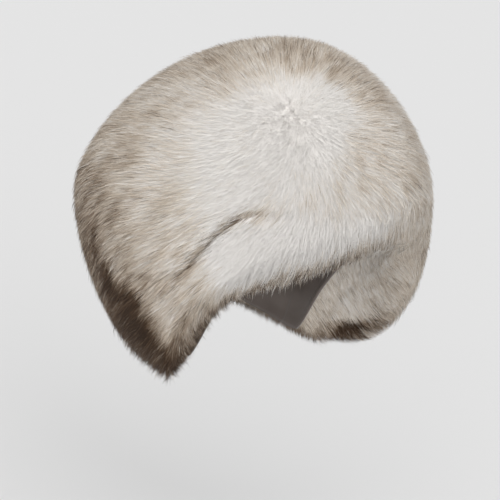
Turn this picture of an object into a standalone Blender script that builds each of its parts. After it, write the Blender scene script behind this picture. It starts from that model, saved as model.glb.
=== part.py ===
"""Fur hat with ear flaps, worn down: a deep fur crown, a band across the forehead,
two ear flaps, a neck flap and the hollow lining of four gores that the head goes into.

Metres, +Z up, front towards -Y, the wearer's left towards +X. The origin is the
point inside the top of the lining that rests on the head.
"""

import math

import bmesh
import bpy
import numpy as np

# All sizes in the tables and constants below are millimetres and degrees.
MM = 0.001

# Sections round the head, one row each.
# azimuth: from the front, positive towards the wearer's left
# reach:   how far the fur stands out at its fullest
# belly:   height of that fullest point
# lip:     how far out, and how high, the lowest edge of the fur lies
SECTION_COLUMNS = ("azimuth", "reach", "belly", "lip_reach", "lip_height")
SECTIONS = (
    (-145, 184, -128, 108, -241),
    (-115, 170, -122, 103, -246),
    (-90, 165, -138, 104, -250),
    (-76, 165, -150, 109, -250),
    (-65, 162, -132, 113, -180),
    (-55, 157, -102, 118, -146),
    (-40, 150, -77, 122, -125),
    (-20, 144, -55, 125, -98),
    (0, 145, -38, 125, -83),
    (20, 143, -55, 125, -98),
    (40, 148, -90, 122, -131),
    (54, 171, -134, 121, -156),
    (65, 184, -170, 119, -190),
    (76, 191, -190, 116, -245),
    (92, 180, -172, 107, -248),
    (115, 172, -135, 103, -247),
    (145, 184, -128, 108, -241),
    (180, 187, -140, 112, -244),
)
CROWN_TOP = 63
DOME_ROUNDNESS = 1.80
UNDER_ROUNDNESS = 1.70

# The crease between the crown and the pieces below it: its height and how deep it is.
# The dip fades over CREASE_SPREAD to either side.
CREASE_COLUMNS = ("azimuth", "height", "depth")
CREASE = (
    (0, -52, 5),
    (30, -42, 6),
    (47, -46, 9),
    (60, -58, 17),
    (68, -85, 20),
    (76, -123, 18),
    (86, -154, 12),
    (105, -167, 8),
    (130, -172, 5),
    (180, -174, 5),
)
CREASE_SPREAD = 24
CREASE_SHARPNESS = 1.7

# The head space, an oval that narrows above the brow and stays straight below it.
HEAD_HALF_WIDTH = 81
HEAD_HALF_LENGTH = 100
HEAD_DOME = 92
HEAD_ROUNDNESS = 2.3
LINING_THICKNESS = 2.0
LINING_ABOVE_LIP = 15
FUR_ABOVE_LINING_EDGE = 4

# Where the lower pieces meet.
BAND_END = 80
FLAP_END = 130

# Every piece has its columns at the same azimuths, so facets lie flat on each other.
COLUMN_STEP = 5
LEVELS_UNDER_CROWN = 5
LEVELS_UNDER_LOWER = 3
LEAST_LOWER_PIECE = 14
CROWN_START = 0.13
CROWN_ROWS = 10
LOWER_END = 1.9
LOWER_ROWS = 4
NEIGHBOUR_GAP = 0.35
SEAM_GAP = 0.6
SEAM_REACH = 0.02
END_GAP = 0.3

# A lock of fur: two columns wide, its tip proud and low, its root tucked in.
TIP_PROUD = 3.0
TIP_DROP = 0.30
TIP_REACH = 0.21
VALLEY_SUNK = 2.0
ROOT_SUNK = 5.0
LIP_LOCK_DROP = 6
VALLEY_SHARE = 0.4
INSIDE_LIP_BULGE = (-1, -2)

WHITE_FUR = (0.70, 0.66, 0.60, 1.0)
FUR_ROUGHNESS = 0.9
DARK_CLOTH = (0.020, 0.018, 0.017, 1.0)
CLOTH_ROUGHNESS = 0.8

# The lining's gores: the side of the head each lies on, and the azimuths it spans.
GORE_COLUMNS = ("name", "side", "end", "start_azimuth")
GORES = (
    ("lining_front_left", 1, -1, 0),
    ("lining_back_left", 1, 1, 90),
    ("lining_back_right", -1, 1, 180),
    ("lining_front_right", -1, -1, 270),
)
GORE_SPAN = 90

# How finely the smooth curves are sampled before the columns are laid on them.
HALVINGS = 40
STRETCH_SAMPLES = 60
HEAD_DOME_SAMPLES = 80
HEAD_SIDE_SAMPLES = 20


def cyclic_curve(azimuths, values):
    """A smooth curve through a table that closes on itself, with no overshoot."""
    x = np.array(azimuths, float)
    y = np.array(values, float)
    x = np.concatenate([x[-3:] - 360, x, x[:3] + 360])
    y = np.concatenate([y[-3:], y, y[:3]])
    run = np.diff(x)
    slope = np.diff(y) / run
    tangent = np.zeros(len(x))
    for i in range(1, len(x) - 1):
        before, after = slope[i - 1], slope[i]
        if before * after > 0:
            wb = 2 * run[i] + run[i - 1]
            wa = run[i] + 2 * run[i - 1]
            tangent[i] = (wb + wa) / (wb / before + wa / after)

    def curve(azimuth):
        azimuth = (azimuth + 180) % 360 - 180
        i = int(np.searchsorted(x, azimuth, side="right")) - 1
        t = (azimuth - x[i]) / run[i]
        rise = y[i + 1] - y[i]
        pull = run[i] * (tangent[i] * t * (1 - t) ** 2 - tangent[i + 1] * t * t * (1 - t))
        return y[i] + rise * t * t * (3 - 2 * t) + pull

    return curve


def section_curve(name):
    rows = np.array(SECTIONS, float)
    return cyclic_curve(rows[:, 0], rows[:, SECTION_COLUMNS.index(name)])


def crease_curve(name):
    """The crease is the same on both sides."""
    rows = np.array(CREASE, float)
    column = CREASE_COLUMNS.index(name)
    mirrored = rows[1:-1][::-1]
    azimuths = np.concatenate([-mirrored[:, 0], rows[:, 0]])
    values = np.concatenate([mirrored[:, column], rows[:, column]])
    return cyclic_curve(azimuths, values)


REACH = section_curve("reach")
BELLY = section_curve("belly")
LIP_REACH = section_curve("lip_reach")
LIP_HEIGHT = section_curve("lip_height")
CREASE_HEIGHT = crease_curve("height")
CREASE_DEPTH = crease_curve("depth")


def at(azimuth, reach, height):
    """The point at an azimuth, a distance from the axis and a height, in metres."""
    a = math.radians(azimuth)
    return np.array((math.sin(a) * reach, -math.cos(a) * reach, height)) * MM


def fur_profile(azimuth, turn):
    """Reach and height of the fur's outer form: turn 0 at the top, 1 at the belly, 2 at the lip."""
    if turn <= 1:
        angle = turn * math.pi / 2
        out = math.sin(angle) ** (2 / DOME_ROUNDNESS)
        up = math.cos(angle) ** (2 / DOME_ROUNDNESS)
        belly = BELLY(azimuth)
        return REACH(azimuth) * out, belly + (CROWN_TOP - belly) * up
    angle = (turn - 1) * math.pi / 2
    out = max(math.cos(angle), 0) ** (2 / UNDER_ROUNDNESS)
    down = math.sin(angle) ** (2 / UNDER_ROUNDNESS)
    lip_reach, belly = LIP_REACH(azimuth), BELLY(azimuth)
    reach = lip_reach + (REACH(azimuth) - lip_reach) * out
    return reach, belly - (belly - LIP_HEIGHT(azimuth)) * down


def turn_at_height(azimuth, height):
    """Where on the outer form a height is reached, found by halving."""
    low, high = 0.0, 2.0
    for _ in range(HALVINGS):
        middle = (low + high) / 2
        if fur_profile(azimuth, middle)[1] > height:
            low = middle
        else:
            high = middle
    return (low + high) / 2


def profile_stretch(azimuth, start, end, count=STRETCH_SAMPLES):
    """Points along the outer form between two turns, with the way walked and the outward direction."""
    turns = np.linspace(start, end, count)
    points = np.array([fur_profile(azimuth, t) for t in turns])
    steps = np.diff(points, axis=0)
    walked = np.concatenate([[0], np.cumsum(np.hypot(steps[:, 0], steps[:, 1]))])
    along = np.gradient(points, axis=0)
    along /= np.maximum(np.hypot(along[:, 0], along[:, 1]), 1e-9)[:, None]
    outward = np.stack([-along[:, 1], along[:, 0]], axis=1)
    return points, walked, outward


def crease_dip(distance, depth):
    """How far the fur sinks at a distance along the surface from the crease."""
    near = max(0.0, 1 - distance / CREASE_SPREAD)
    return depth * near ** CREASE_SHARPNESS


def lock_rings(azimuth, column, rows, start, end, dip_at_start, dip_at_end):
    """Reach and height of every ring of one column: a tucked root and a proud tip for each row."""
    points, walked, outward = profile_stretch(azimuth, start, end)
    length = walked[-1]
    depth = CREASE_DEPTH(azimuth)
    rings = []
    for row in range(rows):
        is_tip = (column + row) % 2 == 0
        root = row / rows
        tip = (row + 1 - TIP_DROP + (TIP_REACH if is_tip else -TIP_DROP)) / rows
        for part, proud in ((root, -ROOT_SUNK), (tip, TIP_PROUD if is_tip else -VALLEY_SUNK)):
            way = part * length
            spot = np.array([np.interp(way, walked, points[:, k]) for k in (0, 1)])
            out = np.array([np.interp(way, walked, outward[:, k]) for k in (0, 1)])
            sunk = 0.0
            if dip_at_start:
                sunk = max(sunk, crease_dip(way, depth))
            if dip_at_end:
                sunk = max(sunk, crease_dip(length - way, depth))
            rings.append(spot + out * (proud - sunk))
    return rings


def lining_edge(azimuth):
    return LIP_HEIGHT(azimuth) + LINING_ABOVE_LIP


def seam_foot_height(azimuth):
    """Where the wall between the crown and a lower piece reaches the lining."""
    lowest = lining_edge(azimuth) + FUR_ABOVE_LINING_EDGE + LEAST_LOWER_PIECE
    return max(CREASE_HEIGHT(azimuth), lowest)


def head_outline(azimuth):
    """The head space's fine profile from its top down to the lining's edge."""
    a = math.radians(azimuth)
    oval = 1 / math.hypot(math.sin(a) / HEAD_HALF_WIDTH, math.cos(a) / HEAD_HALF_LENGTH)
    edge = lining_edge(azimuth)
    fine = []
    for angle in np.linspace(0, math.pi / 2, HEAD_DOME_SAMPLES):
        reach = oval * math.sin(angle) ** (2 / HEAD_ROUNDNESS)
        height = -HEAD_DOME + HEAD_DOME * max(math.cos(angle), 0) ** (2 / HEAD_ROUNDNESS)
        if height > edge:
            fine.append((reach, height))
    last = fine[-1]
    for share in np.linspace(0, 1, HEAD_SIDE_SAMPLES)[1:]:
        fine.append((last[0], last[1] + (edge - last[1]) * share))
    return np.array(fine)


def head_profile(azimuth, offset):
    """Levels from the top to the seam's foot, on to the fur's inner corner, and to the edge."""
    fine = head_outline(azimuth)
    walked = np.concatenate([[0], np.cumsum(np.hypot(*np.diff(fine, axis=0).T))])
    foot = np.interp(-seam_foot_height(azimuth), -fine[:, 1], walked)
    corner = np.interp(-lining_edge(azimuth) - FUR_ABOVE_LINING_EDGE, -fine[:, 1], walked)
    levels = np.concatenate([
        np.linspace(0, foot, LEVELS_UNDER_CROWN + 1),
        np.linspace(foot, corner, LEVELS_UNDER_LOWER + 1)[1:],
        [walked[-1]],
    ])
    profile = np.stack([np.interp(levels, walked, fine[:, k]) for k in (0, 1)], axis=1)
    along = np.gradient(profile, axis=0)
    along /= np.hypot(along[:, 0], along[:, 1])[:, None]
    outward = np.stack([-along[:, 1], along[:, 0]], axis=1)
    outward[0] = (0, 1)
    moved = profile + outward * offset
    moved[0, 0] = 0
    return moved


def backing_levels(azimuth):
    """What the fur is sewn to: just clear of the lining's outer side."""
    return head_profile(azimuth, LINING_THICKNESS + NEIGHBOUR_GAP)


def seam_top(azimuth):
    """The bottom of the crease, where the crown and a lower piece meet."""
    crease = turn_at_height(azimuth, CREASE_HEIGHT(azimuth))
    points, _, outward = profile_stretch(azimuth, crease - SEAM_REACH, crease + SEAM_REACH, 3)
    return points[1] - outward[1] * (ROOT_SUNK + CREASE_DEPTH(azimuth))


def crown_column(azimuth, column):
    """Down the outer form to the crease, in along the seam, and up the backing towards the top."""
    crease = turn_at_height(azimuth, CREASE_HEIGHT(azimuth))
    outer = lock_rings(azimuth, column, CROWN_ROWS, CROWN_START, crease, False, True)
    backing = backing_levels(azimuth)[1:LEVELS_UNDER_CROWN + 1]
    return outer + [seam_top(azimuth)], list(backing[::-1])


def lower_column(azimuth, column):
    """A closed loop: out of the seam, down the outer form, round the lip and up the backing."""
    crease = turn_at_height(azimuth, CREASE_HEIGHT(azimuth))
    seam = seam_top(azimuth) + np.array((0, -SEAM_GAP))
    outer = lock_rings(azimuth, column, LOWER_ROWS, crease, LOWER_END, True, False)[1:]
    is_tip = (column + LOWER_ROWS) % 2 == 0
    lip = np.array(fur_profile(azimuth, 2.0))
    lip[1] += -LIP_LOCK_DROP if is_tip else LIP_LOCK_DROP * VALLEY_SHARE
    backing = backing_levels(azimuth)[LEVELS_UNDER_CROWN:-1]
    down = backing[1] - backing[0]
    foot = backing[0] + down / np.hypot(*down) * SEAM_GAP
    corner = backing[-1]
    inside_lip = (lip + corner) / 2 + np.array(INSIDE_LIP_BULGE)
    return [seam] + outer + [lip, inside_lip] + list(backing[:0:-1]) + [foot]


def new_piece(name, bm, colour, roughness):
    """Make an object of a finished mesh, with its own material."""
    bmesh.ops.triangulate(bm, faces=bm.faces)
    bmesh.ops.recalc_face_normals(bm, faces=bm.faces)
    mesh = bpy.data.meshes.new(name)
    bm.to_mesh(mesh)
    bm.free()
    material = bpy.data.materials.new(name + "_finish")
    material.use_nodes = True
    shader = material.node_tree.nodes["Principled BSDF"]
    shader.inputs["Base Color"].default_value = colour
    shader.inputs["Roughness"].default_value = roughness
    shader.inputs["Metallic"].default_value = 0.0
    mesh.materials.append(material)
    piece = bpy.data.objects.new(name, mesh)
    bpy.context.collection.objects.link(piece)
    return piece


def skin(bm, upper, lower, closed, falling):
    """Triangles between two rows of vertices; falling says which way each quad is split."""
    count = len(upper)
    for i in range(count if closed else count - 1):
        j = (i + 1) % count
        if falling:
            bm.faces.new((upper[i], lower[i], lower[j]))
            bm.faces.new((upper[i], lower[j], upper[j]))
        else:
            bm.faces.new((upper[i], lower[i], upper[j]))
            bm.faces.new((upper[j], lower[i], lower[j]))


def cap(bm, ring, point):
    """Close a ring with a fan to one point."""
    centre = bm.verts.new(point)
    for i, vert in enumerate(ring):
        bm.faces.new((vert, ring[(i + 1) % len(ring)], centre))


def make_crown():
    bm = bmesh.new()
    azimuths = [i * COLUMN_STEP for i in range(360 // COLUMN_STEP)]
    columns = [crown_column(a, i) for i, a in enumerate(azimuths)]
    outer_count = len(columns[0][0])
    rings = []
    for k in range(outer_count + LEVELS_UNDER_CROWN):
        ring = []
        for azimuth, (outer, inner) in zip(azimuths, columns):
            point = outer[k] if k < outer_count else inner[k - outer_count]
            ring.append(bm.verts.new(at(azimuth, *point)))
        rings.append(ring)
    for k in range(len(rings) - 1):
        skin(bm, rings[k], rings[k + 1], True, k < outer_count)
    cap(bm, rings[0], (0, 0, CROWN_TOP * MM))
    cap(bm, rings[-1], (0, 0, (LINING_THICKNESS + NEIGHBOUR_GAP) * MM))
    return new_piece("crown", bm, WHITE_FUR, FUR_ROUGHNESS)


def make_lower_piece(name, start, end):
    """A stretch of fur below the crease, between two azimuths, closed at both ends."""
    bm = bmesh.new()
    count = round((end - start) / COLUMN_STEP)
    loops = []
    for i in range(count + 1):
        azimuth = start + i * COLUMN_STEP
        trim = math.degrees(END_GAP / 2 / HEAD_HALF_WIDTH)
        shown = azimuth + (trim if i == 0 else -trim if i == count else 0)
        column = lower_column(azimuth, round(azimuth / COLUMN_STEP))
        loops.append([bm.verts.new(at(shown, *p)) for p in column])
    for i in range(count):
        skin(bm, loops[i], loops[i + 1], True, False)
    for loop in (loops[0], loops[-1]):
        bm.faces.new(loop)
    return new_piece(name, bm, WHITE_FUR, FUR_ROUGHNESS)


def make_gore(name, side, end, start):
    """A quarter of the thin cap: outer side, inner side, the low edge and two seam edges."""
    bm = bmesh.new()
    half_gap = NEIGHBOUR_GAP / 2 * MM

    def vert(point):
        clear_x = side * max(side * point[0], half_gap)
        clear_y = end * max(end * point[1], half_gap)
        return bm.verts.new((clear_x, clear_y, point[2]))

    azimuths = [start + i * COLUMN_STEP for i in range(GORE_SPAN // COLUMN_STEP + 1)]
    outer = [head_profile(a, LINING_THICKNESS) for a in azimuths]
    inner = [head_profile(a, 0.0) for a in azimuths]
    last = len(outer[0]) - 1
    rings = []
    for profiles, levels in ((outer, range(1, last + 1)), (inner, range(last, 0, -1))):
        for k in levels:
            rings.append([vert(at(a, *profile[k])) for a, profile in zip(azimuths, profiles)])
    for k in range(len(rings) - 1):
        skin(bm, rings[k], rings[k + 1], False, k < last)
    top = vert(at(start, 0, LINING_THICKNESS))
    seat = vert(at(start, 0, 0))
    for ring, pole in ((rings[0], top), (rings[-1], seat)):
        for i in range(len(ring) - 1):
            bm.faces.new((ring[i], ring[i + 1], pole))
    for column in (0, -1):
        seam_edge = [top] + [ring[column] for ring in rings] + [seat]
        for k in range(last):
            outside = seam_edge[k:k + 2]
            inside = seam_edge[::-1][k:k + 2]
            bm.faces.new(outside + inside[::-1])
    return new_piece(name, bm, DARK_CLOTH, CLOTH_ROUGHNESS)


def main():
    for old in list(bpy.data.objects):
        bpy.data.objects.remove(old, do_unlink=True)
    for gore in GORES:
        make_gore(*gore)
    make_crown()
    make_lower_piece("front_band", -BAND_END, BAND_END)
    make_lower_piece("ear_flap_left", BAND_END, FLAP_END)
    make_lower_piece("ear_flap_right", -FLAP_END, -BAND_END)
    make_lower_piece("neck_flap", FLAP_END, 360 - FLAP_END)


main()
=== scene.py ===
"""Looks of a deep-furred winter hat with its ear flaps down: long fur over an underfur,
a satin lining inside, and a soft studio round it."""

import math

import bmesh
import bpy
import numpy as np
from mathutils import Matrix, Vector


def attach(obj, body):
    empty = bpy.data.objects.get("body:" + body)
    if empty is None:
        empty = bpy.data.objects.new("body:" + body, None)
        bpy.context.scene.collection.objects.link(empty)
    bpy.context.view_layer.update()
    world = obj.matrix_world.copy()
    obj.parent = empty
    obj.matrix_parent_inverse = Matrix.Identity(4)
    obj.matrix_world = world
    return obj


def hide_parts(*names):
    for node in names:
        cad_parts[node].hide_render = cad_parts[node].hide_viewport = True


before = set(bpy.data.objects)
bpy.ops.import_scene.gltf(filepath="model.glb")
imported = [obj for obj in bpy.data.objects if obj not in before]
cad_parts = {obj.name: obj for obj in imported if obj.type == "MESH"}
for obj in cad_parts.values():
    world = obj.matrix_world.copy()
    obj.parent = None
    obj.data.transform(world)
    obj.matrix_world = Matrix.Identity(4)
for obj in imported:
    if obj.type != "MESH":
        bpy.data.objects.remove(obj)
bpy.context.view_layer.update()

MM = 0.001

# Points of a shell closer than this, in millimetres, become one.
MERGE_DISTANCE = 0.001


def table(columns, rows):
    """A table with named columns, as one array a column."""
    return dict(zip(columns, np.array(rows, float).T))


# The hat's form, in millimetres and degrees, as the solids have it, in sections round the hat:
# azimuth from the front, positive towards the wearer's left.
SECTIONS = table(("azimuth", "reach", "belly", "lip_reach", "lip_height"), (
    (-145, 184, -128, 108, -241),
    (-115, 170, -122, 103, -246),
    (-90, 165, -138, 104, -250),
    (-76, 165, -150, 109, -250),
    (-65, 162, -132, 113, -180),
    (-55, 157, -102, 118, -146),
    (-40, 150, -77, 122, -125),
    (-20, 144, -55, 125, -98),
    (0, 145, -38, 125, -83),
    (20, 143, -55, 125, -98),
    (40, 148, -90, 122, -131),
    (54, 171, -134, 121, -156),
    (65, 184, -170, 119, -190),
    (76, 191, -190, 116, -245),
    (92, 180, -172, 107, -248),
    (115, 172, -135, 103, -247),
    (145, 184, -128, 108, -241),
    (180, 187, -140, 112, -244),
))
CROWN_TOP = 63
DOME_ROUNDNESS = 1.80
UNDER_ROUNDNESS = 1.70

# The crease between the crown and the pieces below it, the same on both sides: its height and
# how deep the coat sinks into it. It is deepest at the temples and gone in front and behind.
CREASE = table(("azimuth", "height", "depth"), (
    (0, -56, 0),
    (30, -58, 0),
    (48, -62, 1.5),
    (56, -65, 4),
    (62, -69, 7),
    (67, -79, 10),
    (71, -96, 11),
    (73.5, -113, 10),
    (76, -130, 8),
    (79, -147, 4.5),
    (86, -157, 2.5),
    (105, -167, 1.2),
    (130, -172, 0),
    (180, -174, 0),
))
CREASE_SPREAD = 8
CREASE_SHARPNESS = 1.5
# Painted shade along the crease: the hair within this width of it turns towards this dark tone, fully where
# the crease is at least this deep.
CREASE_SHADE_TONE = 0.92
CREASE_SHADE_WIDTH = 4.2
DEEP_CREASE = 9

# The hollow inside the lining, and how the fur comes round the lip to the lining's edge.
HEAD_HALF_WIDTH = 81
HEAD_HALF_LENGTH = 100
HEAD_DOME = 92
HEAD_ROUNDNESS = 2.3
LINING_THICKNESS = 2.0
LINING_ABOVE_LIP = 15
FUR_OFF_LINING = 1
INSIDE_SAG = 2.5

# Turns run down the form: 0 at the top, 1 at the belly, 2 at the lip, and on to the lining's edge.
# Slopes are taken over the step, and the crease is found by halving.
TURN_START = 0.001
TURN_END = 2.3
TURN_STEP = 0.03
LEAST_SIDE = 0.05
HALVINGS = 40

# The lining: its four gores' solids, and the relief of its seams, hem and cloth in millimetres.
GORES = ("lining_front_left", "lining_front_right", "lining_back_left", "lining_back_right")
LINING_COLUMN_STEP = 1.5
LINING_ROWS = 72
LINING_OUTSIDE_LEVELS = 4
OUTLINE_STEPS = 120
SEAM_DEPTH = 0.9
SEAM_WIDTH = 1.6
PUCKER_HEIGHT = 0.35
PUCKER_LENGTH = 8
PUCKER_REACH = 8
HEM_WIDTH = 12
HEM_HEIGHT = 0.5
HEM_EDGE = 1.5
HEM_STITCH_DEPTH = 0.4
HEM_STITCH_WIDTH = 0.9
HEM_STITCH_OFF = 1
CLOTH_WAVE = 0.45
CLOTH_WAVE_SIZE = 38
RELIEF_FADE = 14

# Where the pieces below the crease meet.
BAND_END = 80
FLAP_END = 130

# The solids of the fur, and the hair's pieces: whether each is above the crease, and its azimuths.
FUR_NODES = ("crown", "front_band", "ear_flap_right", "ear_flap_left", "neck_flap")
FUR_PIECES = (
    ("crown_fur_front", True, -45, 45),
    ("crown_fur_left", True, 45, 135),
    ("crown_fur_back", True, 135, 225),
    ("crown_fur_right", True, -135, -45),
    ("front_band_fur_right", False, -BAND_END, 0),
    ("front_band_fur_left", False, 0, BAND_END),
    ("ear_flap_right_fur", False, -FLAP_END, -BAND_END),
    ("ear_flap_left_fur", False, BAND_END, FLAP_END),
    ("neck_flap_fur", False, FLAP_END, 360 - FLAP_END),
)

# The hair: locks of fine short strands with a few longer, curved guard hairs. In millimetres.
LOCK_SPACING = 3.7
LOCK_SPREAD = 2.1
CLUMPING = 0.30
FINE_PER_LOCK = 10
FINE_LENGTH = 17
FINE_WIDTH = 0.44
GUARD_PER_LOCK = 1
GUARD_LENGTH = 20
GUARD_WIDTH = 0.38
GUARD_BEND = 11
GUARD_LIFT = 2.2
DARK_GUARDS = 0.4
DARKER_BY = 0.34
DARKER_RAMP = 2.5
ROOT_DEPTH = 9
COAT_LIFT = 0.3
SHORTEST, LONGEST = 0.75, 1.2
THINNEST, THICKEST = 0.7, 1.2
GUARD_ROOT_WIDTH = 0.8
CLEAR_OF_WALL = 1

# Loose tips along the lip stand up by as much as this, most at one turn and none a reach from it.
FRINGE_LIFT = 8
FRINGE_TURN = 1.93
FRINGE_REACH = 0.15

# Locks are spread evenly, in rows from near the top to the lining's edge and columns a degree.
SCATTER_START = 0.02
HAIR_START = 0.01
SCATTER_ROWS = 120
SCATTER_COLUMNS = 2

# How far locks and hairs swing sideways and lean, in degrees, and stand proud, in millimetres, by
# chance. The wide swing is a slow wave over the coat, and near the whorl the locks are calmer.
LOCK_SWING = 4.5
WIDE_SWING = 5
WIDE_SWING_SIZE = 60
LOCK_LEAN = 3.0
LOCK_PROUD = 0.4
LOCK_STRETCH = 1.5
HAIR_SWING = 4
HAIR_LEAN = 4
HAIR_PROUD = 0.6
LEAN_MOST = 74
CALM_REACH = 90
CALMEST = 0.25

# A strand's sides, how round it is lit, and its place on the colour map: the tone across it, and
# the way from root to tip up it.
STRAND_SIDES = 3
STRAND_ROUNDING = 0.18
TONE_WIDTH = 0.012
PALEST, DARKEST = 0.02, 0.98
GUARD_ROOT_V, FINE_ROOT_V, MIDDLE_V, TIP_V = 0.02, 0.35, 0.5, 0.98

# How the coat is lit: over how long a step its normals are taken, and how much they scatter.
SHADING_STEP = 0.14
UNRULY = 0.05
UNRULY_INSIDE = 0.22
UNRULY_INSIDE_START = 2.06

# The dense fur below the hair: how far it lies below the coat, and its backing off the head.
UNDERFUR_DEPTH = 8
UNDERFUR_LIP_DEPTH = 6
UNDERFUR_LIP_TURNS = (1.6, 1.9)
UNDERFUR_CREASE_DEPTH = 14
UNDERFUR_CREASE_SPREAD = 12
# Painted shade: how strongly the underfur darkens at the crease.
UNDERFUR_CREASE_SHADE = 2
UNDERFUR_COLUMN_STEP = 3
UNDERFUR_START = 0.03
UNDERFUR_ROWS = 92
BACKING_OFF = 3.2
BACKING_ABOVE_EDGE = 3
BACKING_LEVELS = 6

# The whorl on the crown that the hair lies away from, as an azimuth and a turn.
WHORL = (-66, 0.37)

# How far the hair leans over from upright, in degrees, by its distance from the whorl in
# millimetres, and the most it leans down the form from the belly to inside the lip.
LEANS = table(("distance", "lean"), (
    (0, 12),
    (15, 25),
    (35, 35),
    (65, 42),
    (95, 47),
    (125, 53),
    (160, 58),
    (230, 60),
))
LEAN_LIMITS = table(("turn", "lean"), (
    (1.30, 62),
    (1.70, 52),
    (1.95, 38),
    (2.10, 26),
    (2.20, 34),
    (2.30, 30),
))
AWAY_FULL = 130
AWAY_END = 230

# How far the hair is combed sideways from straight down, in degrees towards the wearer's left.
COMBS = table(("azimuth", "above_crease", "below_crease"), (
    (-180, 0, 0),
    (-150, -16, -10),
    (-125, -32, -16),
    (-105, -34, -20),
    (-88, -30, -26),
    (-65, -28, -31),
    (-52, -22, -24),
    (-40, -12, -10),
    (-25, -3, 8),
    (0, 2, 18),
    (25, 4, 30),
    (60, 18, 30),
    (88, 26, 24),
    (120, 26, 14),
    (150, 14, 8),
    (180, 0, 0),
))
COMB_START = 0.50
COMB_FULL = 0.78

# Where the coat stands fuller than the solids, or less full, in millimetres, below the belly,
# and how far the hair on the front of the left flap lies its own way there, from 0 to 1.
FULLNESS = table(("azimuth", "fullness", "own_way"), (
    (-170, 0, 0),
    (-148, -5, 0),
    (-118, -5, 0),
    (-98, -2, 0),
    (-85, 0, 0),
    (-5, 0, 0),
    (20, 0, 0.45),
    (40, 1, 1),
    (52, 6, 1),
    (60, 15, 1),
    (68, 20, 1),
    (77, 17, 1),
    (86, 7, 1),
    (96, 0, 0.85),
    (128, 0, 0),
))
FULLEST_TURN = 1.45
FULLNESS_SPREAD = 0.5
OWN_WAY = (0.30, -0.77, -0.57)
OWN_WAY_SWING = 0.7
OWN_WAY_START = 0.95
OWN_WAY_FULL = 1.40

# At the tip of the left flap the coat bends sharply, so the hair there stands up more.
TIP_AZIMUTHS = (70, 78, 96, 104)
TIP_START = 1.50
TIP_FULL = 1.65
TIP_LEAN = 0.55

# The fringe along the lip, by azimuth: how dark its tips are, from which turn this comes in, and how dark the
# hair is on the lip's inside, which is partly painted shade for the hollow there.
LIP_TONES = table(("azimuth", "tone", "start", "inside"), (
    (-180, 0.80, 1.50, 0.60),
    (-100, 0.92, 1.55, 0.85),
    (-80, 0.98, 1.62, 0.95),
    (-70, 1.00, 1.66, 0.98),
    (-60, 0.95, 1.40, 0.95),
    (-51, 0.90, 1.46, 0.80),
    (-44, 1.00, 1.34, 0.65),
    (-37, 0.97, 1.35, 0.55),
    (-28, 0.92, 1.34, 0.45),
    (-16, 0.85, 1.36, 0.35),
    (-6, 0.66, 1.24, 0.30),
    (15, 0.42, 1.40, 0.30),
    (52, 0.20, 1.45, 0.36),
    (68, 0.20, 1.60, 0.42),
    (73, 0.80, 1.74, 0.50),
    (79, 0.96, 1.72, 0.70),
    (92, 0.92, 1.62, 0.80),
    (120, 0.75, 1.52, 0.60),
    (180, 0.80, 1.50, 0.60),
))
LIP_TONE_RAMP = 0.24
LIP_WANDER = 0.07
LIP_WANDER_SIZE = 14
LIP_LEAST, LIP_MOST = 0.1, 1.4
INSIDE_START = 1.97
INSIDE_RAMP = 0.15
LIP_UNEVENNESS = 0.12
LIP_UNEVEN_START = 1.5
UNEVENNESS = 0.04

# How much the tone changes from lock to lock: by chance, and in spots of two sizes in millimetres,
# each with its seed. White hair changes least, and dark hair is held back.
SPOT_CONTRAST = 0.5
SPOT_RANGE = (-1, 2)
SPOT_EVENNESS = 1.6
SPOT_RIPPLE = 0.35
SPOTS = ((24, 5), (10, 6))
DARK_CALM = 0.6

rng = np.random.default_rng(7)


def cyclic_curve(azimuths, values):
    """Values at azimuths as one value a degree, on a smooth closed curve with no overshoot."""
    x = np.concatenate([azimuths[-3:] - 360, azimuths, azimuths[:3] + 360])
    y = np.concatenate([values[-3:], values, values[:3]])
    run = np.diff(x)
    slope = np.diff(y) / run
    tangent = np.zeros(len(x))
    for i in range(1, len(x) - 1):
        before, after = slope[i - 1], slope[i]
        if before * after > 0:
            wb = 2 * run[i] + run[i - 1]
            wa = run[i] + 2 * run[i - 1]
            tangent[i] = (wb + wa) / (wb / before + wa / after)
    degrees = np.arange(-180, 181)
    i = np.searchsorted(x, degrees, side="right") - 1
    t = (degrees - x[i]) / run[i]
    rise = y[i + 1] - y[i]
    pull = run[i] * (tangent[i] * t * (1 - t) ** 2 - tangent[i + 1] * t * t * (1 - t))
    return y[i] + rise * t * t * (3 - 2 * t) + pull


def section_curve(name):
    return cyclic_curve(SECTIONS["azimuth"], SECTIONS[name])


def crease_curve(name):
    """A column of the crease's table, the same on both sides."""
    azimuths, values = CREASE["azimuth"], CREASE[name]
    azimuths = np.concatenate([-azimuths[-2:0:-1], azimuths])
    values = np.concatenate([values[-2:0:-1], values])
    return cyclic_curve(azimuths, values)


REACH = section_curve("reach")
BELLY = section_curve("belly")
LIP_REACH = section_curve("lip_reach")
LIP_HEIGHT = section_curve("lip_height")
CREASE_HEIGHT = crease_curve("height")
CREASE_DEPTH = crease_curve("depth")


def around(curve, azimuth):
    """A curve's value at any azimuths."""
    return np.interp((azimuth + 180) % 360 - 180, np.arange(-180, 181), curve)


def head_reach(azimuth):
    a = np.radians(azimuth)
    return 1 / np.hypot(np.sin(a) / HEAD_HALF_WIDTH, np.cos(a) / HEAD_HALF_LENGTH)


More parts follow.
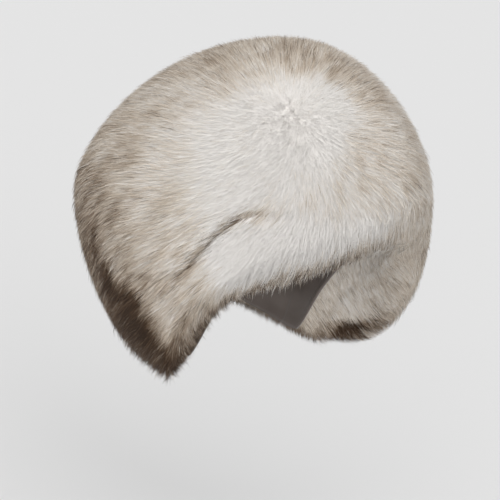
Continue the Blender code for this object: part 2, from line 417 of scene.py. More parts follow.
def fur_profile(azimuth, turn):
    """Reach and height of the fur's outer form: turn 0 at the top, 1 at the belly, 2 at the lip,
    and on inside the lip to the lining's edge at TURN_END."""
    reach, belly = around(REACH, azimuth), around(BELLY, azimuth)
    lip_reach, lip_height = around(LIP_REACH, azimuth), around(LIP_HEIGHT, azimuth)
    dome = np.clip(turn, 0, 1) * math.pi / 2
    under = np.clip(turn - 1, 0, 1) * math.pi / 2
    dome_out = np.sin(dome) ** (2 / DOME_ROUNDNESS)
    dome_up = np.clip(np.cos(dome), 0, 1) ** (2 / DOME_ROUNDNESS)
    under_out = np.clip(np.cos(under), 0, 1) ** (2 / UNDER_ROUNDNESS)
    under_down = np.sin(under) ** (2 / UNDER_ROUNDNESS)
    upper = turn <= 1
    out = np.where(upper, reach * dome_out, lip_reach + (reach - lip_reach) * under_out)
    up = np.where(
        upper,
        belly + (CROWN_TOP - belly) * dome_up,
        belly - (belly - lip_height) * under_down,
    )
    inside = np.clip((turn - 2) / (TURN_END - 2), 0, 1)
    out += (head_reach(azimuth) + LINING_THICKNESS + FUR_OFF_LINING - lip_reach) * inside
    up += (LINING_ABOVE_LIP + FUR_OFF_LINING) * inside - INSIDE_SAG * 4 * inside * (1 - inside)
    return out, up


def form(azimuth, turn):
    """Points of the outer form, in millimetres."""
    out, up = fur_profile(azimuth, turn)
    a = np.radians(azimuth)
    return np.stack([np.sin(a) * out, -np.cos(a) * out, up], axis=-1)


def crease_turns():
    """Where on the form the crease lies, one value a degree."""
    degrees = np.arange(-180, 181).astype(float)
    low, high = np.zeros(len(degrees)), np.full(len(degrees), 2.0)
    for _ in range(HALVINGS):
        middle = (low + high) / 2
        above = fur_profile(degrees, middle)[1] > CREASE_HEIGHT
        low = np.where(above, middle, low)
        high = np.where(above, high, middle)
    return (low + high) / 2


CREASE_TURN = crease_turns()
CREASE_SLOPE = np.gradient(CREASE_TURN)


def unit(vectors):
    return vectors / np.maximum(np.linalg.norm(vectors, axis=-1, keepdims=True), 1e-9)


def surface(azimuth, turn):
    """Point, outward normal, and the downward and sideways steps per turn and per degree."""
    before = np.clip(turn - TURN_STEP, TURN_START, TURN_END)
    after = np.clip(turn + TURN_STEP, TURN_START, TURN_END)
    down = (form(azimuth, after) - form(azimuth, before)) / (after - before)[:, None]
    side = form(azimuth + 0.5, turn) - form(azimuth - 0.5, turn)
    normal = unit(np.cross(down, side))
    return form(azimuth, turn), normal, down, side


def crease_nearness(azimuth, turn, down, side, spread):
    """1 at the crease, falling to 0 at the spread's distance square to it."""
    per_turn = np.linalg.norm(down, axis=-1)
    per_degree = np.maximum(np.linalg.norm(side, axis=-1), LEAST_SIDE)
    slant = around(CREASE_SLOPE, azimuth) * per_turn / per_degree
    distance = np.abs(turn - around(CREASE_TURN, azimuth)) * per_turn / np.hypot(1, slant)
    return np.clip(1 - distance / spread, 0, 1)


def at_azimuth(columns, name, azimuth):
    """A named column at azimuths taken from -180 to 180."""
    return np.interp((azimuth + 180) % 360 - 180, columns["azimuth"], columns[name])


def coat_point(azimuth, turn, creased=True):
    """Points of the coat: the form, sunk at the crease and fuller or less full below the belly."""
    point, normal, down, side = surface(azimuth, turn)
    there = np.clip(1 - np.abs(turn - FULLEST_TURN) / FULLNESS_SPREAD, 0, 1)
    lift = COAT_LIFT + at_azimuth(FULLNESS, "fullness", azimuth) * there * there * (3 - 2 * there)
    if creased:
        near = crease_nearness(azimuth, turn, down, side, CREASE_SPREAD) ** CREASE_SHARPNESS
        lift -= around(CREASE_DEPTH, azimuth) * near
    return point + normal * lift[:, None]


def coat(azimuth, turn, creased=True, step=TURN_STEP):
    """Points of the coat with its normals, and the steps down and sideways along it."""
    before = np.clip(turn - step, TURN_START, TURN_END)
    after = np.clip(turn + step, TURN_START, TURN_END)
    run = (after - before)[:, None]
    down = (coat_point(azimuth, after, creased) - coat_point(azimuth, before, creased)) / run
    side = coat_point(azimuth + 0.5, turn, creased) - coat_point(azimuth - 0.5, turn, creased)
    return coat_point(azimuth, turn, creased), unit(np.cross(down, side)), down, side


def clear_of_head(points):
    """Whether points keep out of the lining and of the space inside it."""
    x, y, z = points.T
    wall = LINING_THICKNESS + CLEAR_OF_WALL
    inside = np.hypot(x / (HEAD_HALF_WIDTH + wall), y / (HEAD_HALF_LENGTH + wall)) < 1
    edge = around(LIP_HEIGHT, np.degrees(np.arctan2(x, -y))) + LINING_ABOVE_LIP
    return ~(inside & (z > edge - CLEAR_OF_WALL) & (z < -HEAD_DOME))


def ripple(points, size, seed, count=7):
    """Smooth noise between about -1 and 1, with bumps about size millimetres wide."""
    waves = np.random.default_rng(seed)
    total = np.zeros(len(points))
    for _ in range(count):
        way = unit(waves.normal(size=3)) * 2 * math.pi / size * waves.uniform(0.6, 1.5)
        total += np.sin(points @ way + waves.uniform(0, 2 * math.pi))
    return total / math.sqrt(count)


def scatter(spacing, start, end):
    """Lock places spread evenly over the form between two azimuths: azimuth and turn of each."""
    edges = np.linspace(SCATTER_START, TURN_END, SCATTER_ROWS + 1)
    columns = np.linspace(start, end, int((end - start) * SCATTER_COLUMNS) + 1)
    middles = (columns[1:] + columns[:-1]) / 2
    azimuths, turns = [], []
    for low, high in zip(edges[:-1], edges[1:]):
        turn = np.full(len(middles), (low + high) / 2)
        _, _, down, side = surface(middles, turn)
        width = np.linalg.norm(side, axis=-1) * (columns[1] - columns[0])
        height = np.linalg.norm(down, axis=-1) * (high - low)
        filled = np.concatenate([[0], np.cumsum(width * height)]) / spacing ** 2
        marks = np.arange(rng.uniform(0, 1), filled[-1], 1.0)
        places = np.interp(marks, filled, columns)
        azimuths.append(places)
        turns.append(rng.uniform(low, high, len(places)))
    return np.concatenate(azimuths), np.concatenate(turns)


# What colours the hair: a place on the hat, how wide it spreads (mm), and the tone it has,
# from 0 for pure white to 1 for the darkest brown, and past 1 where hardly a paler hair is left.
TONES = table(("x", "y", "z", "spread", "tone"), (
    # The near back edge and the dark stripe down it.
    (-147, 90, -125, 42, 0.62),
    (-144, 83, -162, 30, 0.76),
    (-158, 34, -160, 26, 0.50),
    (-149, 42, -190, 24, 1.02),
    (-154, 4, -192, 22, 1.08),
    (-146, 15, -207, 26, 1.04),
    (-142, -14, -214, 24, 1.12),
    (-137, -33, -228, 18, 0.92),
    (-161, -21, -166, 24, 0.50),
    # The near flap, its lower part darker from sand tips and partly as painted shade where it faces down, and
    # on up the back to the top.
    (-145, -51, -182, 32, 0.50),
    (-150, -57, -150, 26, 0.40),
    (-160, -25, -118, 34, 0.36),
    (-159, 21, -92, 40, 0.42),
    (-139, 90, -76, 42, 0.46),
    (-122, 84, -36, 42, 0.40),
    (-109, 55, -3, 36, 0.34),
    (-80, 62, 25, 34, 0.50),
    (-58, 44, 40, 24, 0.36),
    (-34, 0, 56, 24, 0.54),
    (-13, -44, 55, 24, 0.50),
    # The crown's front, and down to the left end of the band.
    (-8, -79, 42, 28, 0.46),
    (-3, -106, 25, 30, 0.34),
    (-42, -107, 8, 30, 0.34),
    (-66, -113, -16, 26, 0.26),
    (7, -136, -9, 34, 0.36),
    (22, -142, -36, 30, 0.36),
    (67, -123, -89, 36, 0.40),
    # The left flap, its face greyed partly as painted shade, and its dark foot.
    (133, -91, -150, 36, 0.46),
    (166, -69, -185, 30, 0.48),
    (166, -56, -206, 18, 0.62),
    (150, -30, -205, 26, 0.44),
    (152, -36, -240, 20, 1.05),
    (129, -52, -226, 10, 1.20),
    (137, -59, -223, 11, 1.20),
    (143, -70, -213, 10, 1.08),
    (146, -77, -206, 12, 1.00),
    (127, -57, -206, 11, 0.36),
    (132, -64, -203, 9, 0.40),
    (140, -79, -195, 14, 0.56),
    (131, -90, -173, 16, 0.44),
    (120, -78, -172, 16, 0.26),
    (124, -63, -193, 16, 0.30),
    (97, -93, -139, 20, 0.42),
    (117, -100, -144, 16, 0.52),
    (110, -56, -183, 14, 0.34),
    (85, -71, -143, 14, 0.05),
    # Painted shade on the bank behind the near crease and under the crown's bulge above it, then streaks on
    # the near flap.
    (-155, -37, -129, 14, 0.60),
    (-133, -58, -81, 12, 0.54),
    (-129, -64, -74, 11, 0.50),
    (-126, -72, -69, 12, 0.44),
    (-122, -84, -56, 14, 0.36),
    (-161, -18, -173, 13, 0.42),
    (-161, -4, -165, 11, 0.52),
    (-156, -14, -188, 9, 0.68),
    (-135, -48, -200, 14, 0.78),
    (-154, -41, -186, 14, 0.42),
    (-154, -26, -194, 12, 0.80),
    # The pale near side, crown and band.
    (-147, 23, -57, 40, 0.28),
    (-127, -20, -28, 46, 0.12),
    (-61, -68, 27, 44, 0.10),
    (-95, -85, 0, 50, 0.03),
    (-85, -111, -34, 34, 0.26),
    (-101, -90, -26, 24, 0.16),
    (-40, -134, -28, 36, 0.32),
    (-130, -66, -60, 40, 0.10),
    (-140, -76, -104, 40, 0.04),
    (-100, -118, -80, 36, 0.02),
    (-40, -140, -65, 38, 0.05),
    (-14, -143, -57, 16, 0.32),
    # The back, the top and the left side.
    (20, 60, 50, 60, 0.45),
    (0, 140, -20, 70, 0.48),
    (0, 180, -140, 70, 0.42),
    (-70, 160, -180, 50, 0.75),
    (60, 150, -200, 50, 0.75),
    (120, 80, -20, 60, 0.42),
    (170, 40, -120, 60, 0.34),
    (150, 60, -210, 45, 0.80),
    (90, -60, 20, 60, 0.28),
))
TONE_CORE = 0.05
TONE_EDGE = 5


def tone_at(points):
    """The hair's tone at places on the hat, blended between the table's rows."""
    total = np.zeros(len(points))
    weight = np.zeros(len(points))
    for x, y, z, spread, tone in zip(*TONES.values()):
        gap = np.linalg.norm(points - np.array((x, y, z)), axis=-1) / spread
        share = 1 / (TONE_CORE + gap ** TONE_EDGE)
        total += share * tone
        weight += share
    return total / weight


def mesh_from(name, points, triangles, uvs, normals):
    """A mesh from arrays, points in millimetres, one uv pair and one shading normal a point."""
    mesh = bpy.data.meshes.new(name)
    mesh.vertices.add(len(points))
    mesh.vertices.foreach_set("co", (points * MM).astype(np.float32).ravel())
    mesh.loops.add(triangles.size)
    mesh.loops.foreach_set("vertex_index", triangles.astype(np.int32).ravel())
    mesh.polygons.add(len(triangles))
    mesh.polygons.foreach_set("loop_start", np.arange(0, triangles.size, 3, dtype=np.int32))
    layer = mesh.uv_layers.new(name="OFBake")
    layer.data.foreach_set("uv", uvs[triangles.ravel()].astype(np.float32).ravel())
    mesh.update(calc_edges=True)
    mesh.validate()
    mesh.shade_smooth()
    mesh.normals_split_custom_set_from_vertices(normals)
    piece = bpy.data.objects.new(name, mesh)
    bpy.context.collection.objects.link(piece)
    return piece


def strands(rings, widths, ring_vs, tips, tones, coat_normals):
    """Tapered strands through rings of given widths to a tip: points, triangles, uvs, normals."""
    count = len(tips)
    along = unit(tips - rings[0])
    across = unit(np.cross(along, rng.normal(size=(count, 3))))
    other = np.cross(along, across)
    points, lit, us, vs = [], [], [], []
    for centre, width, v in zip(rings, widths, ring_vs):
        for k in range(STRAND_SIDES):
            angle = k * 2 * math.pi / STRAND_SIDES
            offset = across * math.cos(angle) + other * math.sin(angle)
            points.append(centre + offset * (width / 2)[:, None])
            lit.append(unit(coat_normals + offset * STRAND_ROUNDING))
            us.append(tones + (k - 1) * TONE_WIDTH / 2)
            vs.append(np.full(count, v))
    points.append(tips)
    lit.append(coat_normals)
    us.append(tones)
    vs.append(np.full(count, TIP_V))

    faces = []
    last = len(rings) * STRAND_SIDES
    for k in range(STRAND_SIDES):
        beside = (k + 1) % STRAND_SIDES
        for ring in range(len(rings) - 1):
            low, high = ring * STRAND_SIDES, (ring + 1) * STRAND_SIDES
            faces += [(low + k, low + beside, high + beside), (low + k, high + beside, high + k)]
        faces.append((last - STRAND_SIDES + k, last - STRAND_SIDES + beside, last))
    triangles = np.array(faces)[None] + (np.arange(count) * (last + 1))[:, None, None]
    uvs = np.stack([np.stack(us, axis=1), np.stack(vs, axis=1)], axis=-1)
    return (
        np.stack(points, axis=1).reshape(-1, 3), triangles.reshape(-1, 3),
        uvs.reshape(-1, 2), np.stack(lit, axis=1).reshape(-1, 3),
    )


def joined(parts):
    """Several strand arrays as one."""
    points, triangles, uvs, normals = [], [], [], []
    start = 0
    for part_points, part_triangles, part_uvs, part_normals in parts:
        points.append(part_points)
        triangles.append(part_triangles + start)
        uvs.append(part_uvs)
        normals.append(part_normals)
        start += len(part_points)
    return [np.concatenate(arrays) for arrays in (points, triangles, uvs, normals)]


def inside_share(turn):
    """0 outside the lip, rising to 1 on its inside."""
    return np.clip((turn - INSIDE_START) / INSIDE_RAMP, 0, 1)


def lock_tones(azimuth, turn, point, down, side):
    """The tone of each lock: by place, with painted shade in the crease, darker along the lip, and inside the
    lip its own tone, which is partly painted shade.
    """
    tone = tone_at(point)
    spots = rng.gamma(SPOT_EVENNESS, 1 / SPOT_EVENNESS, len(point))
    for size, seed in SPOTS:
        spots += SPOT_RIPPLE * ripple(point, size, seed)
    tone += SPOT_CONTRAST * np.clip(spots - 1, *SPOT_RANGE) * tone * (1 - DARK_CALM * tone)
    # Painted shade in the crease: locks near it turn dark, most where the crease is deep.
    deep = np.clip(around(CREASE_DEPTH, azimuth) / DEEP_CREASE, 0, 1) ** 2
    near = crease_nearness(azimuth, turn, down, side, CREASE_SHADE_WIDTH)
    tone += (CREASE_SHADE_TONE - tone) * near * deep
    start = at_azimuth(LIP_TONES, "start", azimuth) + LIP_WANDER * ripple(point, LIP_WANDER_SIZE, 9)
    lip = np.clip((turn - start) / LIP_TONE_RAMP, 0, 1)
    lip *= np.clip(rng.uniform(0, LIP_MOST, len(lip)), LIP_LEAST, 1)
    tone += np.clip(at_azimuth(LIP_TONES, "tone", azimuth) - tone, 0, 1) * lip
    # Inside the lip the tone turns to the table's inside tone, partly painted shade for the hollow there.
    return tone + (at_azimuth(LIP_TONES, "inside", azimuth) - tone) * inside_share(turn)


WHORL_POINT = form(*(np.array([value]) for value in WHORL))


def hair_way(azimuth, turn, point, normal, down, above_crease, swing, lean_noise):
    """Which way the hair lies along the coat, as unit vectors, and how far it leans, in radians."""
    away = point - WHORL_POINT
    distance = np.linalg.norm(away, axis=-1)
    away -= normal * np.sum(away * normal, axis=-1)[:, None]
    straight = unit(down)
    share = np.clip((AWAY_END - distance) / (AWAY_END - AWAY_FULL), 0, 1) * (turn < 1)
    if not above_crease:
        share *= 0
    flow = unit(unit(away) * share[:, None] + straight * (1 - share)[:, None])
    across = unit(np.cross(normal, flow))
    comb = at_azimuth(COMBS, "above_crease" if above_crease else "below_crease", azimuth)
    comb *= np.clip((turn - COMB_START) / (COMB_FULL - COMB_START), 0, 1)
    comb = np.radians(comb) + swing
    flow = flow * np.cos(comb)[:, None] + across * np.sin(comb)[:, None]
    own = at_azimuth(FULLNESS, "own_way", azimuth)
    own *= np.clip((turn - OWN_WAY_START) / (OWN_WAY_FULL - OWN_WAY_START), 0, 1)
    along_flap = np.array(OWN_WAY) + across * (swing * OWN_WAY_SWING)[:, None]
    along_flap = unit(along_flap - normal * np.sum(along_flap * normal, axis=-1)[:, None])
    flow = unit(flow * (1 - own)[:, None] + along_flap * own[:, None])
    lean = np.minimum(
        np.interp(distance, LEANS["distance"], LEANS["lean"]),
        np.interp(turn, LEAN_LIMITS["turn"], LEAN_LIMITS["lean"]),
    )
    tip = np.interp(azimuth, TIP_AZIMUTHS, (0, 1, 1, 0))
    tip *= np.interp(turn, (TIP_START, TIP_FULL), (0, 1))
    lean *= 1 - (1 - TIP_LEAN) * tip
    lean = np.clip(np.radians(lean) + lean_noise, 0, np.radians(LEAN_MOST))
    return flow, lean


def leaning(normal, flow, lean):
    """Unit vectors that lean over from the normal towards the flow."""
    return normal * np.cos(lean)[:, None] + flow * np.sin(lean)[:, None]


def grow_hairs(locks, above_crease, length, width, curved):
    """The strands of one kind of hair, with a row of the locks' columns for each."""
    count = len(locks["turn"])
    turn = locks["turn"] + rng.normal(size=count) * LOCK_STRETCH * LOCK_SPREAD / locks["per_turn"]
    gather = (1 - CLUMPING * locks["calm"]) * LOCK_SPREAD
    azimuth = locks["azimuth"] + rng.normal(size=count) * gather / locks["per_degree"]
    turn = np.clip(turn, HAIR_START, TURN_END)
    tip, creased, _, _ = coat(azimuth, turn)
    _, normal, down, _ = coat(azimuth, turn, False)
    _, smooth, _, _ = coat(azimuth, turn, False, SHADING_STEP)
    unruly = np.where(turn > UNRULY_INSIDE_START, UNRULY_INSIDE, UNRULY)
    lit = unit(smooth + creased - normal + unruly[:, None] * rng.normal(size=(count, 3)))
    swing = locks["swing"] + np.radians(HAIR_SWING) * rng.normal(size=count)
    lean_noise = locks["lean"] + np.radians(HAIR_LEAN) * rng.normal(size=count)
    flow, lean = hair_way(azimuth, turn, tip, normal, down, above_crease, swing, lean_noise)
    fringe = np.clip(1 - np.abs(turn - FRINGE_TURN) / FRINGE_REACH, 0, 1) * FRINGE_LIFT
    fringe *= rng.uniform(0, 1, count) ** 2
    tip = tip + normal * (locks["proud"] + HAIR_PROUD * rng.normal(size=count) + fringe)[:, None]
    full = length * rng.uniform(SHORTEST, LONGEST, count)
    uneven = np.where(turn > LIP_UNEVEN_START, LIP_UNEVENNESS, UNEVENNESS)
    tone = np.clip(locks["tone"] + uneven * rng.normal(size=count), PALEST, DARKEST)
    thick = width * rng.uniform(THINNEST, THICKEST, count)
    if curved:
        bend = np.radians(GUARD_BEND)
        tip = tip + normal * (rng.uniform(0, 1, count) * GUARD_LIFT)[:, None]
        middle = tip - leaning(normal, flow, lean + bend) * (full / 2)[:, None]
        root = middle - leaning(normal, flow, lean - bend) * (full / 2)[:, None]
        darker = DARKER_BY * (rng.uniform(size=count) < DARK_GUARDS) * np.clip(DARKER_RAMP * tone, 0, 1)
        tone = np.clip(tone + darker, PALEST, DARKEST)
        rings, widths, ring_vs = (root, middle), (thick * GUARD_ROOT_WIDTH, thick), (GUARD_ROOT_V, MIDDLE_V)
    else:
        full = np.minimum(full, ROOT_DEPTH / np.cos(lean))
        root = tip - leaning(normal, flow, lean) * full[:, None]
        rings, widths, ring_vs = (root,), (thick,), (FINE_ROOT_V,)
    kept = clear_of_head(tip)
    for ring in rings:
        kept &= clear_of_head(ring)
    rings = [ring[kept] for ring in rings]
    widths = [ring_width[kept] for ring_width in widths]
    return strands(rings, widths, ring_vs, tip[kept], tone[kept], lit[kept])


def grow_fur(name, above_crease, start, end):
    """The hair of one piece, each strand worked back from its tip on the coat."""
    azimuth, turn = scatter(LOCK_SPACING, start, end)
    crease = around(CREASE_TURN, azimuth)
    mine = turn < crease if above_crease else turn >= crease
    azimuth, turn = azimuth[mine], turn[mine]
    point, _, down, side = coat(azimuth, turn)
    count = len(azimuth)
    calm = np.clip(np.linalg.norm(point - WHORL_POINT, axis=-1) / CALM_REACH, CALMEST, 1)
    swing = np.radians(LOCK_SWING) * rng.normal(size=count)
    locks = {
        "azimuth": azimuth,
        "turn": turn,
        "per_turn": np.linalg.norm(down, axis=-1),
        "per_degree": np.maximum(np.linalg.norm(side, axis=-1), LEAST_SIDE),
        "calm": calm,
        "swing": swing + np.radians(WIDE_SWING) * ripple(point, WIDE_SWING_SIZE, 3),
        "lean": np.radians(LOCK_LEAN) * rng.normal(size=count) * calm,
        "proud": LOCK_PROUD * rng.normal(size=count) * calm,
        "tone": lock_tones(azimuth, turn, point, down, side),
    }
    parts = []
    for each_lock, length, width, curved in (
        (FINE_PER_LOCK, FINE_LENGTH, FINE_WIDTH, False),
        (GUARD_PER_LOCK, GUARD_LENGTH, GUARD_WIDTH, True),
    ):
        rows = {column: np.repeat(values, each_lock) for column, values in locks.items()}
        parts.append(grow_hairs(rows, above_crease, length, width, curved))
    return mesh_from(name, *joined(parts))


class Wire:
    """A shader socket that takes part in plain arithmetic."""

    def __init__(self, nodes, socket):
        self.nodes = nodes
        self.socket = socket

    def maths(self, operation, first, second):
        return self.nodes.add("ShaderNodeMath", {"operation": operation}, {0: first, 1: second})

    def __sub__(self, other):
        return self.maths("SUBTRACT", self, other)

    def __rsub__(self, other):
        return self.maths("SUBTRACT", other, self)

    def __truediv__(self, other):
        return self.maths("DIVIDE", self, other)

    def __rtruediv__(self, other):
        return self.maths("DIVIDE", other, self)


class Nodes:
    """The nodes of one material."""

    def __init__(self, material):
        self.tree = material.node_tree
        self.tree.nodes.clear()

    def add(self, kind, settings=None, sockets=None, out=0):
        """A node: its settings, a ramp's stops among them, then its sockets' values or wires."""
        node = self.tree.nodes.new(kind)
        for key, value in (settings or {}).items():
            if key == "stops":
                elements = node.color_ramp.elements
                elements.remove(elements[1])
                for number, (place, colour) in enumerate(value):
                    element = elements.new(place) if number else elements[0]
                    element.position = place
                    element.color = (*colour, 1)
            else:
                setattr(node, key, value)
        for key, value in (sockets or {}).items():
            if isinstance(value, Wire):
                self.tree.links.new(value.socket, node.inputs[key])
            else:
                node.inputs[key].default_value = value
        return Wire(self, node.outputs[out]) if len(node.outputs) else None


def new_material(name):
    material = bpy.data.materials.new(name)
    material.use_nodes = True
    return material, Nodes(material)


# The hair's colours, from the palest tone to the darkest.
WHITE_HAIR = (0.93, 0.90, 0.865)
CREAM_HAIR = (0.82, 0.735, 0.63)
SAND_HAIR = (0.54, 0.44, 0.340)
BROWN_HAIR = (0.170, 0.100, 0.056)
DARK_HAIR = (0.032, 0.017, 0.009)
# The underfur's darkest colour, also its painted shade at the bottom of the crease.
DARK_UNDERFUR = (0.160, 0.110, 0.075)

# From where to where along a strand its colour turns from the root's to the tip's.
TIP_COLOUR_START = 0.55
TIP_COLOUR_FULL = 0.85


def hair_material():
    """Colour from the strand's tone across the map and from root to tip up it."""
    material, nodes = new_material("fur_hair")
    place = nodes.add("ShaderNodeUVMap", {"uv_map": "OFBake"})
    tone = nodes.add("ShaderNodeSeparateXYZ", None, {0: place}, out="X")
    along = nodes.add("ShaderNodeSeparateXYZ", None, {0: place}, out="Y")
    under = nodes.add("ShaderNodeValToRGB", {"stops": (
        (0.0, WHITE_HAIR), (0.3, WHITE_HAIR), (0.5, CREAM_HAIR), (0.75, SAND_HAIR), (0.9, BROWN_HAIR),
        (1.0, DARK_HAIR),
    )}, {0: tone})
    tips = nodes.add("ShaderNodeValToRGB", {"stops": (
        (0.0, WHITE_HAIR), (0.12, WHITE_HAIR), (0.28, CREAM_HAIR), (0.5, SAND_HAIR), (0.78, BROWN_HAIR),
        (1.0, DARK_HAIR),
    )}, {0: tone})
    tipped = (along - TIP_COLOUR_START) / (TIP_COLOUR_FULL - TIP_COLOUR_START)
    colour = nodes.add("ShaderNodeMix", {"data_type": "RGBA"}, {0: tipped, 6: under, 7: tips}, out=2)
    shader = nodes.add("ShaderNodeBsdfPrincipled", None, {
        "Base Color": colour, "Roughness": 0.6, "Specular IOR Level": 0.12,
        "Sheen Weight": 0.03, "Sheen Roughness": 0.5,
    })
    nodes.add("ShaderNodeOutputMaterial", None, {"Surface": shader})
    return material


def underfur_material():
    material, nodes = new_material("underfur")
    tone = nodes.add("ShaderNodeAttribute", {"attribute_name": "tone"}, out="Fac")
    colour = nodes.add("ShaderNodeValToRGB", {"stops": (
        (0.0, WHITE_HAIR), (0.3, WHITE_HAIR), (0.6, CREAM_HAIR), (1.0, DARK_UNDERFUR),
    )}, {0: tone})
    shader = nodes.add("ShaderNodeBsdfPrincipled", None, {"Base Color": colour, "Roughness": 0.9})
    nodes.add("ShaderNodeOutputMaterial", None, {"Surface": shader})
    return material


def head_wall(azimuth):
    """The head space's wall at one azimuth, from the top down: its points, the ways outwards, its
    reach and how far each point is from the lining's edge."""
    reach, height, from_edge = head_outline(azimuth)
    a = math.radians(azimuth)
    way = np.array((math.sin(a), -math.cos(a)))
    places = np.stack([way[0] * reach, way[1] * reach, height], axis=1)
    along_out = np.gradient(reach)
    along_up = np.gradient(height)
    along_out[0], along_up[0] = 1, 0
    length = np.hypot(along_out, along_up)
    out, up = -along_up / length, along_out / length
    outward = np.stack([way[0] * out, way[1] * out, up], axis=1)
    return places, outward, reach, from_edge


def closed_shell(name, rings, first_pole, last_pole, tones=None):
    """A closed mesh, from a grid bent through rings of points from one pole to the other, with an
    attribute for the tones if there are any. In millimetres."""
    columns = len(rings[0])
    rows = [np.tile(first_pole, (columns, 1)), *rings, np.tile(last_pole, (columns, 1))]
    places = np.array([[*row, row[0]] for row in rows])
    bm = bmesh.new()
    bmesh.ops.create_grid(bm, x_segments=columns, y_segments=len(rows) - 1, size=1)
    for vert, place in zip(bm.verts, places.reshape(-1, 3)):
        vert.co = Vector(place) * MM
    if tones is not None:
        layer = bm.verts.layers.float.new("tone")
        tones = np.array([[*row, row[0]] for row in (tones[0], *tones, tones[-1])])
        for vert, tone in zip(bm.verts, tones.ravel()):
            vert[layer] = tone
    bmesh.ops.remove_doubles(bm, verts=bm.verts, dist=MERGE_DISTANCE * MM)
    bmesh.ops.recalc_face_normals(bm, faces=bm.faces)
    mesh = bpy.data.meshes.new(name)
    bm.to_mesh(mesh)
    bm.free()
    mesh.shade_smooth()
    piece = bpy.data.objects.new(name, mesh)
    bpy.context.collection.objects.link(piece)
    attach(piece, "root")
    return piece


def make_underfur():
    """The dense fur below the hair, closed: the coat set inwards, and its backing round the lining."""
    azimuths = np.arange(-180, 180, UNDERFUR_COLUMN_STEP).astype(float)
    rings, tones = [], []
    creased = np.clip(around(CREASE_DEPTH, azimuths) / DEEP_CREASE, 0, 1)
    for turn in np.linspace(UNDERFUR_START, TURN_END, UNDERFUR_ROWS):
        turns = np.full(len(azimuths), turn)
        points, normals, down, side = coat(azimuths, turns, step=SHADING_STEP)
        near = creased * crease_nearness(azimuths, turns, down, side, UNDERFUR_CREASE_SPREAD)
        depth = np.interp(turn, UNDERFUR_LIP_TURNS, (UNDERFUR_DEPTH, UNDERFUR_LIP_DEPTH))
        rings.append(points - normals * (depth + UNDERFUR_CREASE_DEPTH * near)[:, None])
        tone = tone_at(points)
        # Inside the lip the underfur takes the lip's inside tone, partly painted shade for the hollow there.
        tone += (at_azimuth(LIP_TONES, "inside", azimuths) - tone) * inside_share(turns)
        # Painted shade: the underfur turns to its darkest colour at the bottom of the crease.
        tones.append(np.maximum(tone, np.clip(UNDERFUR_CREASE_SHADE * near, 0, 1)))
    walls = [head_wall(azimuth) for azimuth in azimuths]
    for level in range(LINING_ROWS - BACKING_ABOVE_EDGE, 0, -BACKING_LEVELS):
        ring = [places[level] + outward[level] * BACKING_OFF for places, outward, _, _ in walls]
        rings.append(np.array(ring))
        tones.append(np.zeros(len(azimuths)))
    top = (0, 0, CROWN_TOP - UNDERFUR_DEPTH)
    piece = closed_shell("underfur", rings, top, (0, 0, BACKING_OFF), tones)
    piece.data.materials.append(underfur_material())
    for node in FUR_NODES:
        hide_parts(node)


def make_fur():
    make_underfur()
    hair = hair_material()
    for name, above_crease, start, end in FUR_PIECES:
        piece = grow_fur(name, above_crease, start, end)
        piece.data.materials.append(hair)
        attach(piece, "root")


def lining_material():
    """Dark satin: a soft gloss over a fine weave."""
    material, nodes = new_material("lining_satin")
    place = nodes.add("ShaderNodeTexCoord", None, out="Object")
    grain = nodes.add("ShaderNodeTexNoise", None, {"Vector": place, "Scale": 1400.0, "Detail": 2.0})
    clouds = nodes.add("ShaderNodeTexNoise", None, {"Vector": place, "Scale": 35.0, "Detail": 2.0})
    colour = nodes.add("ShaderNodeValToRGB", {"stops": (
        (0.3, (0.080, 0.061, 0.051)), (0.7, (0.115, 0.090, 0.076)),
    )}, {0: clouds})
    bump = nodes.add("ShaderNodeBump", None, {"Strength": 0.25, "Distance": 0.0003, "Height": grain})
    shader = nodes.add("ShaderNodeBsdfPrincipled", None, {
        "Base Color": colour, "Roughness": 0.38, "Specular IOR Level": 0.45,
        "Sheen Weight": 0.3, "Sheen Roughness": 0.4, "Normal": bump,
    })
    nodes.add("ShaderNodeOutputMaterial", None, {"Surface": shader})
    return material


def head_outline(azimuth):
    """The head space's profile at one azimuth, evenly spaced from its top to the lining's edge."""
    edge = around(LIP_HEIGHT, azimuth) + LINING_ABOVE_LIP
    angles = np.linspace(0, math.pi / 2, OUTLINE_STEPS)
    reach = head_reach(azimuth) * np.sin(angles) ** (2 / HEAD_ROUNDNESS)
    height = -HEAD_DOME + HEAD_DOME * np.clip(np.cos(angles), 0, 1) ** (2 / HEAD_ROUNDNESS)
    kept = height > edge
    reach = np.append(reach[kept], reach[kept][-1])
    height = np.append(height[kept], edge)
    walked = np.concatenate([[0], np.cumsum(np.hypot(np.diff(reach), np.diff(height)))])
    even = np.linspace(0, walked[-1], LINING_ROWS + 1)
    return np.interp(even, walked, reach), np.interp(even, walked, height), walked[-1] - even


def lining_relief(azimuth, reach, from_edge, places):
    """How far the cloth swells inwards: valleys and puckers at the four seams, a hem, soft creases."""
    beside = np.abs((azimuth + 45) % 90 - 45) * math.pi / 180 * reach
    valley = -SEAM_DEPTH * np.exp(-(beside / SEAM_WIDTH) ** 2)
    pucker = PUCKER_HEIGHT * np.sin(from_edge * 2 * math.pi / PUCKER_LENGTH)
    pucker *= np.exp(-(beside / PUCKER_REACH) ** 2)
    hem = HEM_HEIGHT * np.clip((HEM_WIDTH - from_edge) / HEM_EDGE, 0, 1)
    from_stitch = from_edge - HEM_WIDTH - HEM_STITCH_OFF
    stitch = -HEM_STITCH_DEPTH * np.exp(-(from_stitch / HEM_STITCH_WIDTH) ** 2)
    soft = CLOTH_WAVE * ripple(places, CLOTH_WAVE_SIZE, 11)
    near_top = np.clip(reach / RELIEF_FADE, 0, 1)
    return (valley + pucker) * near_top + hem + stitch + soft * near_top


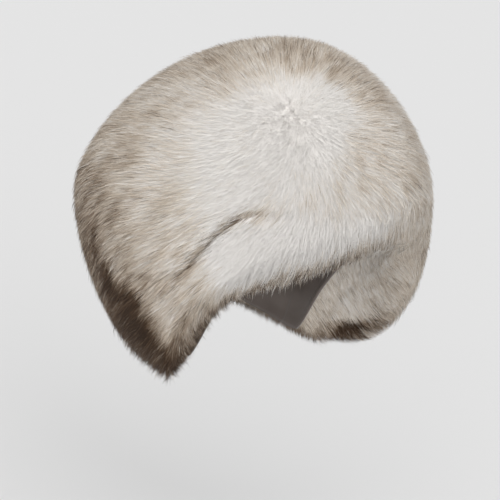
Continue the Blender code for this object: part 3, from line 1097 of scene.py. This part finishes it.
def make_lining():
    """One smooth satin lining in the place of the four gores, open below."""
    inner, outer = [], []
    for azimuth in np.arange(0, 360, LINING_COLUMN_STEP):
        places, outward, reach, from_edge = head_wall(azimuth)
        swell = lining_relief(azimuth, reach, from_edge, places)
        inner.append(places - outward * swell[:, None])
        outer.append(places + outward * LINING_THICKNESS)
    rings = [np.array(inner)[:, level] for level in range(1, LINING_ROWS + 1)]
    rings += [np.array(outer)[:, level] for level in range(LINING_ROWS, 0, -LINING_OUTSIDE_LEVELS)]
    piece = closed_shell("lining", rings, (0, 0, 0), (0, 0, LINING_THICKNESS))
    piece.data.materials.append(lining_material())
    for gore in GORES:
        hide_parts(gore)


# The camera, as the photograph was taken: the hat's own up leans to the right in it.
CAMERA_AZIMUTH = -55.4
CAMERA_ELEVATION = 18.4
CAMERA_ROLL = 18.4
CAMERA_DISTANCE = 1.300
LOOK_POINT = Vector((0, 0, -0.118))
FRAME_PIXELS = 500
PIXELS_PER_METRE = 1060
LOOK_PIXEL = (264.9, 225.6)
SENSOR_WIDTH = 36.0


def placed(x, y, z, place):
    """The matrix of an object with these axes at a place."""
    return Matrix((
        (x[0], y[0], z[0], place[0]),
        (x[1], y[1], z[1], place[1]),
        (x[2], y[2], z[2], place[2]),
        (0, 0, 0, 1),
    ))


def make_camera():
    """The photograph's view. Gives the ways right, up and back from it."""
    azimuth = math.radians(CAMERA_AZIMUTH)
    elevation = math.radians(CAMERA_ELEVATION)
    roll = math.radians(CAMERA_ROLL)
    back = Vector((
        math.sin(azimuth) * math.cos(elevation),
        -math.cos(azimuth) * math.cos(elevation),
        math.sin(elevation),
    ))
    level = Vector((math.cos(azimuth), math.sin(azimuth), 0))
    upright = back.cross(level)
    right = level * math.cos(roll) + upright * math.sin(roll)
    up = upright * math.cos(roll) - level * math.sin(roll)
    focal_pixels = PIXELS_PER_METRE * CAMERA_DISTANCE
    lens = bpy.data.cameras.new("camera")
    lens.sensor_width = SENSOR_WIDTH
    lens.lens = focal_pixels / FRAME_PIXELS * SENSOR_WIDTH
    lens.shift_x = -(LOOK_PIXEL[0] - FRAME_PIXELS / 2) / FRAME_PIXELS
    lens.shift_y = (LOOK_PIXEL[1] - FRAME_PIXELS / 2) / FRAME_PIXELS
    lens.clip_end = 20
    camera = bpy.data.objects.new("camera", lens)
    camera.matrix_world = placed(right, up, back, LOOK_POINT + back * CAMERA_DISTANCE)
    bpy.context.collection.objects.link(camera)
    bpy.context.scene.camera = camera
    return right, up, back


FLOOR_HEIGHT = -0.62
FLOOR_SIZE = 40
FLOOR_COLOUR = (0.80, 0.80, 0.80, 1)

# Soft lights: name, how far to the right, up and towards the camera each is, its spread in degrees, strength.
LAMPS = (
    ("key_light", 0.12, 0.34, 1.0, 60, 2.12),
    ("fill_light", -0.8, 0.1, 0.9, 90, 0.45),
)
SURROUND_LIGHT = 0.52


def make_studio(right, up, back):
    """A pale floor well below, soft panels and an even pale surround."""
    bm = bmesh.new()
    bmesh.ops.create_grid(bm, x_segments=1, y_segments=1, size=FLOOR_SIZE / 2)
    bmesh.ops.translate(bm, verts=bm.verts, vec=(0, 0, FLOOR_HEIGHT))
    mesh = bpy.data.meshes.new("floor")
    bm.to_mesh(mesh)
    bm.free()
    floor = bpy.data.objects.new("floor", mesh)
    bpy.context.collection.objects.link(floor)
    material, nodes = new_material("floor_paper")
    shader = nodes.add("ShaderNodeBsdfPrincipled", None, {"Base Color": FLOOR_COLOUR, "Roughness": 1.0})
    nodes.add("ShaderNodeOutputMaterial", None, {"Surface": shader})
    floor.data.materials.append(material)

    world = bpy.data.worlds.new("surround")
    world.use_nodes = True
    surround = world.node_tree.nodes["Background"]
    surround.inputs["Color"].default_value = (1, 1, 1, 1)
    surround.inputs["Strength"].default_value = SURROUND_LIGHT
    bpy.context.scene.world = world

    for name, rightward, upward, towards, spread, strength in LAMPS:
        lamp = bpy.data.lights.new(name, "SUN")
        lamp.angle = math.radians(spread)
        lamp.energy = strength
        way = right * rightward + up * upward + back * towards
        panel = bpy.data.objects.new(name, lamp)
        panel.rotation_euler = way.to_track_quat("Z", "Y").to_euler()
        bpy.context.collection.objects.link(panel)


def main():
    right, up, back = make_camera()
    make_studio(right, up, back)
    make_lining()
    make_fur()
    bpy.context.scene.view_settings.view_transform = "Standard"


main()
